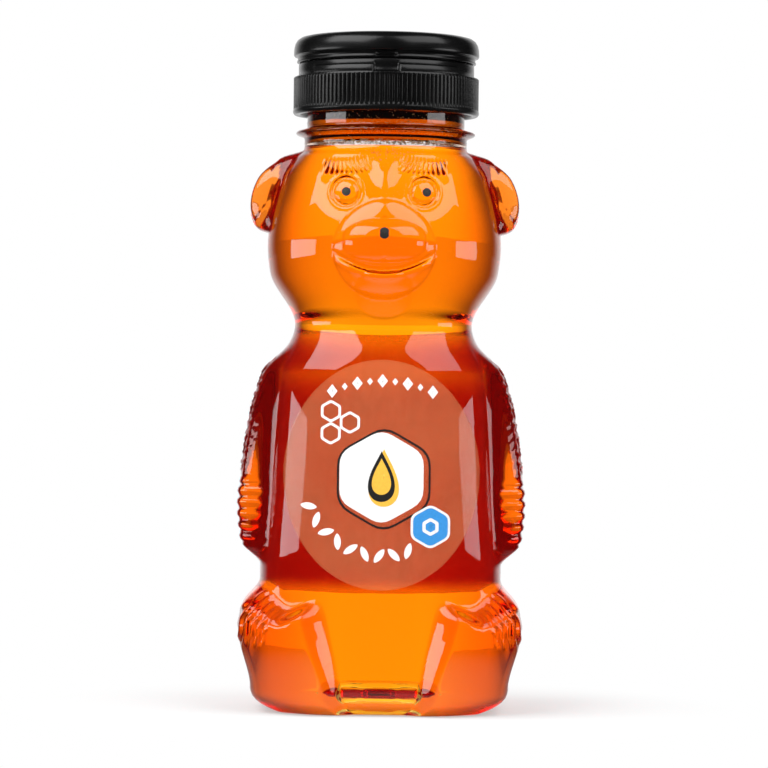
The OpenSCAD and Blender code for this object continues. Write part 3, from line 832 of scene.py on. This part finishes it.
def print_shape(name, material, outline, middle, inner=0.0, lift=0.29, steps=5):
    """Ink printed on the label: an outline of (x, z) points about a middle, filled or as a band."""
    ox = np.array([p[0] for p in outline])
    oz = np.array([p[1] for p in outline])
    x, z, faces = disc_grid(ox, oz, np.linspace(max(inner, 0.02), 1.0, steps + 1))
    points = label_points(x + middle[0], z + middle[1], lift)
    if inner == 0.0:
        faces.append(list(range(len(ox)))[::-1])
    piece = add_object(name, points, faces)
    dress(piece, material, "ink", "bottle")
    return piece


def regular(count, radius, turn=0.0):
    return [(radius * math.cos(math.radians(turn + 360 * n / count)),
             radius * math.sin(math.radians(turn + 360 * n / count))) for n in range(count)]


def densify(outline, step=0.7):
    points = []
    for n, p in enumerate(outline):
        q = outline[(n + 1) % len(outline)]
        length = math.hypot(q[0] - p[0], q[1] - p[1])
        parts = max(1, int(length / step))
        points.extend((p[0] + (q[0] - p[0]) * s / parts, p[1] + (q[1] - p[1]) * s / parts) for s in range(parts))
    return points


def cell_outline(radius, corner):
    return densify(rounded_outline(regular(6, radius, 30.0), corner))


def drop_outline(height):
    points = []
    for n in range(48):
        t = 2 * math.pi * n / 48
        width = 0.36 * height * math.sin(t) * math.sin(t / 2) ** 1.3
        points.append((width, 0.5 * height * math.cos(t)))
    return points[::-1]


def build_prints():
    """A generic print: honeycomb cells, a drop, a row of small diamonds and an arc of leaves."""
    middle = (0.0, LABEL_Z - 0.5)
    print_shape("print_cell_line", INK_BLACK, cell_outline(11.6, 3.0), (0.5, middle[1] - 0.4), 0.955, 0.28, 2)
    print_shape("print_cell", INK_WHITE, cell_outline(10.4, 2.6), middle, 0.0, 0.30, 8)
    print_shape("print_drop_shade", INK_GOLD, drop_outline(12.5), (0.5, middle[1] - 0.1), 0.0, 0.32)
    print_shape("print_drop", INK_BLACK, drop_outline(11.0), (0.0, middle[1] + 0.2), 0.72, 0.34, 3)
    small = cell_outline(4.3, 1.0)
    print_shape("print_blue_rim", INK_WHITE, cell_outline(4.9, 1.2), (10.6, middle[1] - 10.6), 0.0, 0.32, 4)
    print_shape("print_blue_cell", INK_BLUE, small, (10.6, middle[1] - 10.6), 0.0, 0.34, 4)
    print_shape("print_blue_core", INK_WHITE, cell_outline(2.0, 0.4), (10.6, middle[1] - 10.6), 0.6, 0.36, 2)
    for n, (x, z, size) in enumerate([(-11.0, 9.4, 2.5), (-6.9, 11.8, 2.5), (-11.0, 14.2, 2.5)]):
        print_shape(f"print_comb_{n}", INK_WHITE, cell_outline(size, 0.5), (x, middle[1] + z), 0.74, 0.30, 2)
    diamond = densify([(1.15, 0), (0, 1.5), (-1.15, 0), (0, -1.5)], 0.5)
    for n in range(9):
        x = (n - 4) * 2.7
        z = LABEL_Z + 20.4 - 0.02 * x * x
        size = 1.0 if n % 2 == 0 else 0.55
        print_shape(f"print_diamond_{n}", INK_WHITE, [(size * a, size * b) for a, b in diamond], (x, z), 0.0, 0.30, 2)
    for n in range(9):
        turn = math.radians(-90 + (n - 6.1) * 10.3)
        x = 17.5 * math.cos(turn)
        z = LABEL_Z + 2.0 + 19.5 * math.sin(turn)
        leaf = rotated(leaf_outline(3.6, 1.5), math.degrees(turn) + (35 if n % 2 else -35))
        print_shape(f"print_leaf_{n}", INK_WHITE, leaf, (x, z), 0.0, 0.30, 3)


def leaf_outline(length, width):
    points = []
    for n in range(24):
        t = 2 * math.pi * n / 24
        points.append((0.5 * length * math.cos(t), 0.5 * width * math.sin(t) * abs(math.sin(t)) ** 0.4))
    return points


def rotated(outline, degrees):
    c, s = math.cos(math.radians(degrees)), math.sin(math.radians(degrees))
    return [(c * x - s * z, s * x + c * z) for x, z in outline]


def face_points(x, z, lift):
    angle = angle_at(x, z)
    form = bear_form(angle, z)
    return around(angle, form + fine_relief(angle, z, form) + lift, z)


def build_face_prints():
    turn = np.arange(40) * 2 * math.pi / 40
    rng = random.Random(3)
    for name, side in (("pupil_right", -1), ("pupil_left", 1)):
        wobble = np.array([rng.uniform(0.97, 1.03) for _ in turn])
        x, z, faces = disc_grid(0.98 * np.cos(turn) * wobble, 0.98 * np.sin(turn) * wobble, np.linspace(0.05, 1, 5))
        faces.append(list(range(40))[::-1])
        points = face_points(x + side * EYE_X + 0.35, z + EYE_Z, 0.05)
        piece = add_object(name, points, faces)
        dress(piece, INK_BLACK, "ink", "bottle", "eye_prints")
    radius = 1.25 * (0.62 + 0.38 * np.abs(np.sin(turn)) ** 1.2)
    x, z, faces = disc_grid(radius * np.cos(turn), radius * np.sin(turn), np.linspace(0.05, 1, 5))
    faces.append(list(range(40))[::-1])
    piece = add_object("nose_spot", face_points(x, z + NOSE_Z + 0.3, 0.05), faces)
    dress(piece, INK_BLACK, "ink", "bottle", "nose_print")


# ---------------------------------------------------------------- the cap

def cap_outer(angles):
    """Outer rows of the cap body, from its skirt up to its collar, with ribs and front pads."""
    phase = (angles * RIB_COUNT / 360.0) % 1.0
    groove = np.clip(1.0 - np.abs(phase - 0.5) / 0.25, 0.06, 1.0)
    side = folded(angles)
    pad = window(side, 8.0, 52.0, 1.2)
    pad_r = CAP_R - 0.15
    collar_r = CAP_R - 1.1
    rows = []
    for r, z in [(CAP_R - 1.0, SKIRT_Z - 0.0), (CAP_R - 0.35, SKIRT_Z), (CAP_R - 0.15, SKIRT_Z + 0.12),
                 (CAP_R - 0.1, SKIRT_Z + 0.3), (CAP_R + 0.05, SKIRT_Z + 0.42), (CAP_R + 0.08, SKIRT_Z + 0.9),
                 (CAP_R, RIB_Z - 0.1)]:
        rows.append(around(angles, np.full(len(angles), r), z))
    for z in (RIB_Z, RIB_Z + 0.25, RIB_Z + 0.7, RIB_TOP_Z - 0.7, RIB_TOP_Z - 0.3, RIB_TOP_Z - 0.05):
        depth = RIB_DEPTH * window(z, RIB_Z + 0.2, RIB_TOP_Z - 0.35, 0.2)
        rows.append(around(angles, CAP_R - depth * groove, z))
    for z, inset in ((RIB_TOP_Z + 0.1, 0.0), (RIB_TOP_Z + 0.3, 0.5), (RIB_TOP_Z + 0.45, 1.0),
                     (RIB_TOP_Z + 1.6, 1.0), (RIB_TOP_Z + 1.9, 1.0), (RIB_TOP_Z + 2.1, 1.0)):
        plain = CAP_R - 0.1 - (CAP_R - 0.1 - collar_r) * inset
        lifted = np.where(z > RIB_TOP_Z + 1.8, collar_r + (pad_r - collar_r) * (RIB_TOP_Z + 2.1 - z) / 0.35, pad_r)
        lifted = np.clip(lifted, collar_r, pad_r)
        rows.append(around(angles, plain + (lifted - plain) * pad, z))
    for r, z in [(collar_r, PARTING_Z - 0.35), (collar_r - 0.25, PARTING_Z)]:
        rows.append(around(angles, np.full(len(angles), r), z))
    return rows


def build_cap():
    angles = np.arange(RIB_COUNT * 8) * 360.0 / (RIB_COUNT * 8)
    rows = cap_outer(angles)
    spout = [(SPOUT_BORE_R + 1.6, PARTING_Z), (SPOUT_BORE_R + 1.15, PARTING_Z + 0.2),
             (SPOUT_BORE_R + 1.0, PARTING_Z + 0.6), (SPOUT_BORE_R + 0.95, PARTING_Z + 1.8),
             (SPOUT_BORE_R + 0.7, PARTING_Z + 2.0), (SPOUT_BORE_R + 0.2, PARTING_Z + 2.0),
             (SPOUT_BORE_R, PARTING_Z + 1.8), (SPOUT_BORE_R, DECK_Z), (SPOUT_BORE_R + 0.3, DECK_Z - 0.05),
             (CAP_BORE_R - 0.6, DECK_Z - 0.05), (CAP_BORE_R, DECK_Z - 0.5), (CAP_BORE_R, SKIRT_Z + 0.3),
             (CAP_BORE_R + 0.2, SKIRT_Z)]
    rows.extend(lathe(spout, angles))
    points = np.concatenate(rows)
    count = len(angles)
    i = np.arange(count)
    k = (i + 1) % count
    faces = []
    for j in range(len(rows)):
        low = j * count
        high = ((j + 1) % len(rows)) * count
        faces.extend(np.stack([low + i, low + k, high + k, high + i], axis=1).tolist())
    cap = add_object("cap_body", points, faces)
    dress(cap, BLACK, "cap_black", "cap", "cap_base")


def build_lid():
    count = 480
    angles = np.arange(count) * 360.0 / count
    side = folded(angles)
    notch = 1.0 - rise(side, 5.2, 7.2)
    inner_r = CAP_R - 0.35 - 1.3 - 0.7
    outer = [(CAP_R - 0.95, LID_Z), (CAP_R - 0.72, LID_Z + 0.15), (CAP_R - 0.7, LID_Z + 0.4),
             (CAP_R - 0.85, LID_Z + 0.55), (CAP_R - 0.85, RIM_Z - 0.2), (CAP_R - 0.5, RIM_Z - 0.02),
             (CAP_R - 0.12, RIM_Z + 0.05), (CAP_R, RIM_Z + 0.3), (CAP_R, RIM_Z + 0.8),
             (CAP_R - 0.05, RIM_Z + 1.7), (CAP_R - 0.28, RIM_Z + 2.7), (CAP_R - 0.75, RIM_Z + 3.5),
             (CAP_R - 1.5, RIM_Z + 4.05), (CAP_R - 2.6, RIM_Z + 4.32), (CAP_R - 4.0, LID_TOP_Z),
             (CAP_R - 8.0, LID_TOP_Z), (3.0, LID_TOP_Z), (0.2, LID_TOP_Z)]
    rows = [around(angles, r - 0.9 * notch * (1.0 if z < RIM_Z + 0.2 else 0.0), z) for r, z in outer]
    rim = [(SPOUT_BORE_R - 0.1, PARTING_Z + 0.1), (SPOUT_BORE_R - 0.3, PARTING_Z - 0.35),
           (SPOUT_BORE_R - 0.9, PARTING_Z - 0.4), (SPOUT_BORE_R - 1.0, LID_TOP_Z - 1.4)]
    inside = [(0.2, LID_TOP_Z - 1.3), (SPOUT_BORE_R - 1.0, LID_TOP_Z - 1.3)] + rim[::-1][1:] + [
        (SPOUT_BORE_R - 0.1, LID_TOP_Z - 1.4), (inner_r - 0.4, LID_TOP_Z - 1.3), (inner_r, LID_TOP_Z - 1.7),
        (inner_r, LID_Z + 0.2), (inner_r + 0.15, LID_Z)]
    lid = add_object("flip_lid", *stack(list(lathe(inside, angles)) + rows))
    dress(lid, BLACK, "cap_black", "lid", "cap_lid")


def build_hinge():
    """The moulded strap at the back: two pads and the thin web between them, which is where the real strap bends."""
    levels = [-PAD_H, -1.5, -0.9, -0.5, -0.2, 0.0, 0.2, 0.5, 0.9, 1.5, PAD_H]
    across = spaced(-STRAP_W / 2, STRAP_W / 2, 0.5)
    thick = [0.55, STRAP_T, STRAP_T, 0.55, WEB_T, WEB_T - 0.05, WEB_T, 0.55, STRAP_T, STRAP_T, 0.55]
    ring = []
    for z, t in zip(levels, thick):
        outer = [(x, HINGE_Y - 0.04 * (1 if abs(x) > STRAP_W / 2 - 0.6 else 0), PARTING_Z + z) for x in across]
        wall_r = CAP_R - 0.9 if z > 0 else CAP_R - 1.15
        pad = abs(z) > 0.8
        inner = [(x, math.sqrt(wall_r**2 - x**2) if pad else HINGE_Y - t, PARTING_Z + z) for x in across[::-1]]
        ring.append(np.array(outer + inner) * MM)
    piece = add_object("hinge_strap", *stack(ring))
    fix_normals(piece)
    piece.data.materials.append(BLACK)
    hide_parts("cap_hinge")
    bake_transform(piece)


# ---------------------------------------------------------------- stage, light and camera

# The white backdrop ends where the heading's share along +Y falls between these two numbers
BACKDROP_EDGE = (0.6, 0.94)
BACKDROP_LEVEL = 1.25
FLOOR_LEVEL = 1.8
SIDE_LEVEL = 0.42
FRONT_GLOSS = 0.03


def stage_floor():
    mesh = bpy.data.meshes.new("floor")
    size = 4.0
    mesh.from_pydata([(-size, -size, 0), (size, -size, 0), (size, size, 0), (-size, size, 0)], [], [(0, 1, 2, 3)])
    floor = bpy.data.objects.new("floor", mesh)
    bpy.context.scene.collection.objects.link(floor)
    material = bpy.data.materials.new("floor")
    material.use_nodes = True
    tree = material.node_tree
    tree.nodes.clear()
    diffuse = add_node(material, "ShaderNodeBsdfDiffuse", Color=(0.94, 0.94, 0.94, 1.0))
    glow = add_node(material, "ShaderNodeEmission", Color=(1.0, 1.0, 1.0, 1.0), Strength=1.0)
    place = add_node(material, "ShaderNodeTexCoord")
    length = add_node(material, "ShaderNodeVectorMath")
    length.operation = "LENGTH"
    near = add_node(material, "ShaderNodeMapRange")
    near.interpolation_type = "SMOOTHSTEP"
    near.inputs["From Min"].default_value = 0.034
    near.inputs["From Max"].default_value = 0.085
    near.inputs["To Min"].default_value = 0.42
    near.inputs["To Max"].default_value = 1.0
    seen = seen_through(material)
    share = add_node(material, "ShaderNodeMath")
    share.operation = "MULTIPLY"
    mix = add_node(material, "ShaderNodeMixShader")
    output = add_node(material, "ShaderNodeOutputMaterial")
    link(material, place.outputs["Object"], length.inputs[0])
    link(material, length.outputs["Value"], near.inputs["Value"])
    link(material, near.outputs["Result"], share.inputs[0])
    link(material, seen, share.inputs[1])
    link(material, share.outputs["Value"], mix.inputs["Fac"])
    link(material, diffuse.outputs["BSDF"], mix.inputs[1])
    link(material, glow.outputs["Emission"], mix.inputs[2])
    heading = add_node(material, "ShaderNodeVectorMath")
    heading.operation = "NORMALIZE"
    split = add_node(material, "ShaderNodeSeparateXYZ")
    link(material, place.outputs["Object"], heading.inputs[0])
    link(material, heading.outputs["Vector"], split.inputs["Vector"])
    sides = add_node(material, "ShaderNodeMapRange")
    sides.interpolation_type = "SMOOTHSTEP"
    for key, value in zip(("From Min", "From Max", "To Min", "To Max"), (*BACKDROP_EDGE, 0.0, 1.0)):
        sides.inputs[key].default_value = value
    link(material, split.outputs["Y"], sides.inputs["Value"])
    path = add_node(material, "ShaderNodeLightPath")

    def number(operation, a, b):
        node = add_node(material, "ShaderNodeMath")
        node.operation = operation
        for socket, value in zip(node.inputs, (a, b)):
            if isinstance(value, float):
                socket.default_value = value
            else:
                link(material, value, socket)
        return node.outputs["Value"]

    share_behind = sides.outputs["Result"]
    glass = number("MULTIPLY", path.outputs["Is Transmission Ray"],
                   number("ADD", SIDE_LEVEL, number("MULTIPLY", share_behind, FLOOR_LEVEL - SIDE_LEVEL)))
    gloss = number("MULTIPLY", path.outputs["Is Glossy Ray"],
                   number("ADD", FRONT_GLOSS, number("MULTIPLY", share_behind, 1.0 - FRONT_GLOSS)))
    level = number("MAXIMUM", path.outputs["Is Camera Ray"], number("MAXIMUM", glass, gloss))
    link(material, level, glow.inputs["Strength"])
    link(material, mix.outputs["Shader"], output.inputs["Surface"])
    mesh.materials.append(material)


def seen_through(owner):
    """1 for rays of the camera, of glass and of gloss, from the Light Path node."""
    path = add_node(owner, "ShaderNodeLightPath")
    first = add_node(owner, "ShaderNodeMath")
    first.operation = "MAXIMUM"
    second = add_node(owner, "ShaderNodeMath")
    second.operation = "MAXIMUM"
    link(owner, path.outputs["Is Camera Ray"], first.inputs[0])
    link(owner, path.outputs["Is Transmission Ray"], first.inputs[1])
    link(owner, first.outputs["Value"], second.inputs[0])
    link(owner, path.outputs["Is Glossy Ray"], second.inputs[1])
    return second.outputs["Value"]


def stage_world():
    """White behind the object, a dim studio in front of it."""
    world = bpy.data.worlds.new("studio")
    bpy.context.scene.world = world
    world.use_nodes = True
    nodes = world.node_tree.nodes
    links = world.node_tree.links
    sky = nodes["Background"]
    place = nodes.new("ShaderNodeTexCoord")
    split = nodes.new("ShaderNodeSeparateXYZ")
    links.new(place.outputs["Generated"], split.inputs["Vector"])
    behind = nodes.new("ShaderNodeMapRange")
    behind.interpolation_type = "SMOOTHSTEP"
    behind.inputs["From Min"].default_value = 0.66
    behind.inputs["From Max"].default_value = 0.94
    links.new(split.outputs["Y"], behind.inputs["Value"])
    path = nodes.new("ShaderNodeLightPath")

    def number(operation, a, b):
        node = nodes.new("ShaderNodeMath")
        node.operation = operation
        for socket, value in zip(node.inputs, (a, b)):
            if isinstance(value, float):
                socket.default_value = value
            else:
                links.new(value, socket)
        return node.outputs["Value"]

    drop = nodes.new("ShaderNodeMapRange")
    drop.interpolation_type = "SMOOTHSTEP"
    for key, value in zip(("From Min", "From Max", "To Min", "To Max"), (*BACKDROP_EDGE, SIDE_LEVEL, BACKDROP_LEVEL)):
        drop.inputs[key].default_value = value
    links.new(split.outputs["Y"], drop.inputs["Value"])
    glass = number("MULTIPLY", path.outputs["Is Transmission Ray"], drop.outputs["Result"])
    gloss = number("MULTIPLY", path.outputs["Is Glossy Ray"],
                   number("ADD", FRONT_GLOSS, number("MULTIPLY", behind.outputs["Result"], 1.0 - FRONT_GLOSS)))
    seen = number("MAXIMUM", path.outputs["Is Camera Ray"], number("MAXIMUM", glass, gloss))
    strength = number("MAXIMUM", seen, number("MULTIPLY", path.outputs["Is Diffuse Ray"], 0.45))
    links.new(strength, sky.inputs["Strength"])
    sky.inputs["Color"].default_value = (1.0, 1.0, 1.0, 1.0)


def softbox(name, azimuth, elevation, distance, width, tall, power):
    """A large soft lamp, seen from the bottle at an azimuth from the front and an elevation."""
    a = math.radians(azimuth)
    e = math.radians(elevation)
    aim = Vector((0, 0, 0.075))
    place = aim + distance * Vector((math.sin(a) * math.cos(e), -math.cos(a) * math.cos(e), math.sin(e)))
    lamp = bpy.data.lights.new(name, "AREA")
    lamp.shape = "RECTANGLE"
    lamp.size = width
    lamp.size_y = tall
    lamp.energy = power
    holder = bpy.data.objects.new(name, lamp)
    holder.location = place
    holder.rotation_euler = (aim - place).to_track_quat("-Z", "Y").to_euler()
    holder.visible_camera = False
    bpy.context.scene.collection.objects.link(holder)


def stage_lights():
    softbox("softbox_left", -79.0, -1.4, 0.9, 0.6, 0.32, 2.4)
    softbox("softbox_right", 79.0, -1.4, 0.9, 0.5, 0.32, 1.5)
    softbox("softbox_high_left", -54.0, 46.0, 0.9, 0.85, 0.62, 6.5)
    softbox("softbox_high_right", 54.0, 46.0, 0.9, 0.8, 0.62, 3.8)


def stage_camera():
    """Level with the middle of the bottle, rolled as the photograph is."""
    distance = 0.82
    seen = 0.17126
    camera = bpy.data.cameras.new("camera")
    camera.sensor_width = 36.0
    camera.lens = 36.0 * distance / seen
    camera.clip_end = 20.0
    holder = bpy.data.objects.new("camera", camera)
    roll = math.radians(-0.7)
    turn = Matrix.Rotation(roll, 4, "Y") @ Matrix.Rotation(math.radians(90), 4, "X")
    holder.matrix_world = Matrix.Translation((0.0003, -distance, 0.0723)) @ turn
    bpy.context.scene.collection.objects.link(holder)
    bpy.context.scene.camera = holder


build_bottle()
build_honey()
build_neck_honey()
build_froth()
build_label("belly_label", LABEL_HALF_W, LABEL_HALF_H, 2.0, False, FILM, "label_film", "front_label")
build_label("rear_label", BACK_HALF_W, BACK_HALF_H, 5.0, True, BACK, "label_back", "back_label")
build_prints()
build_face_prints()
build_cap()
build_lid()
build_hinge()
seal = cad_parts["seal_ring"]
seal.data.materials.clear()
seal.data.materials.append(FOAM)
stage_floor()
stage_world()
stage_lights()
stage_camera()
bpy.context.scene.view_settings.view_transform = "Standard"
bpy.context.scene.cycles.max_bounces = 72
bpy.context.scene.cycles.transmission_bounces = 72
bpy.context.scene.cycles.glossy_bounces = 72
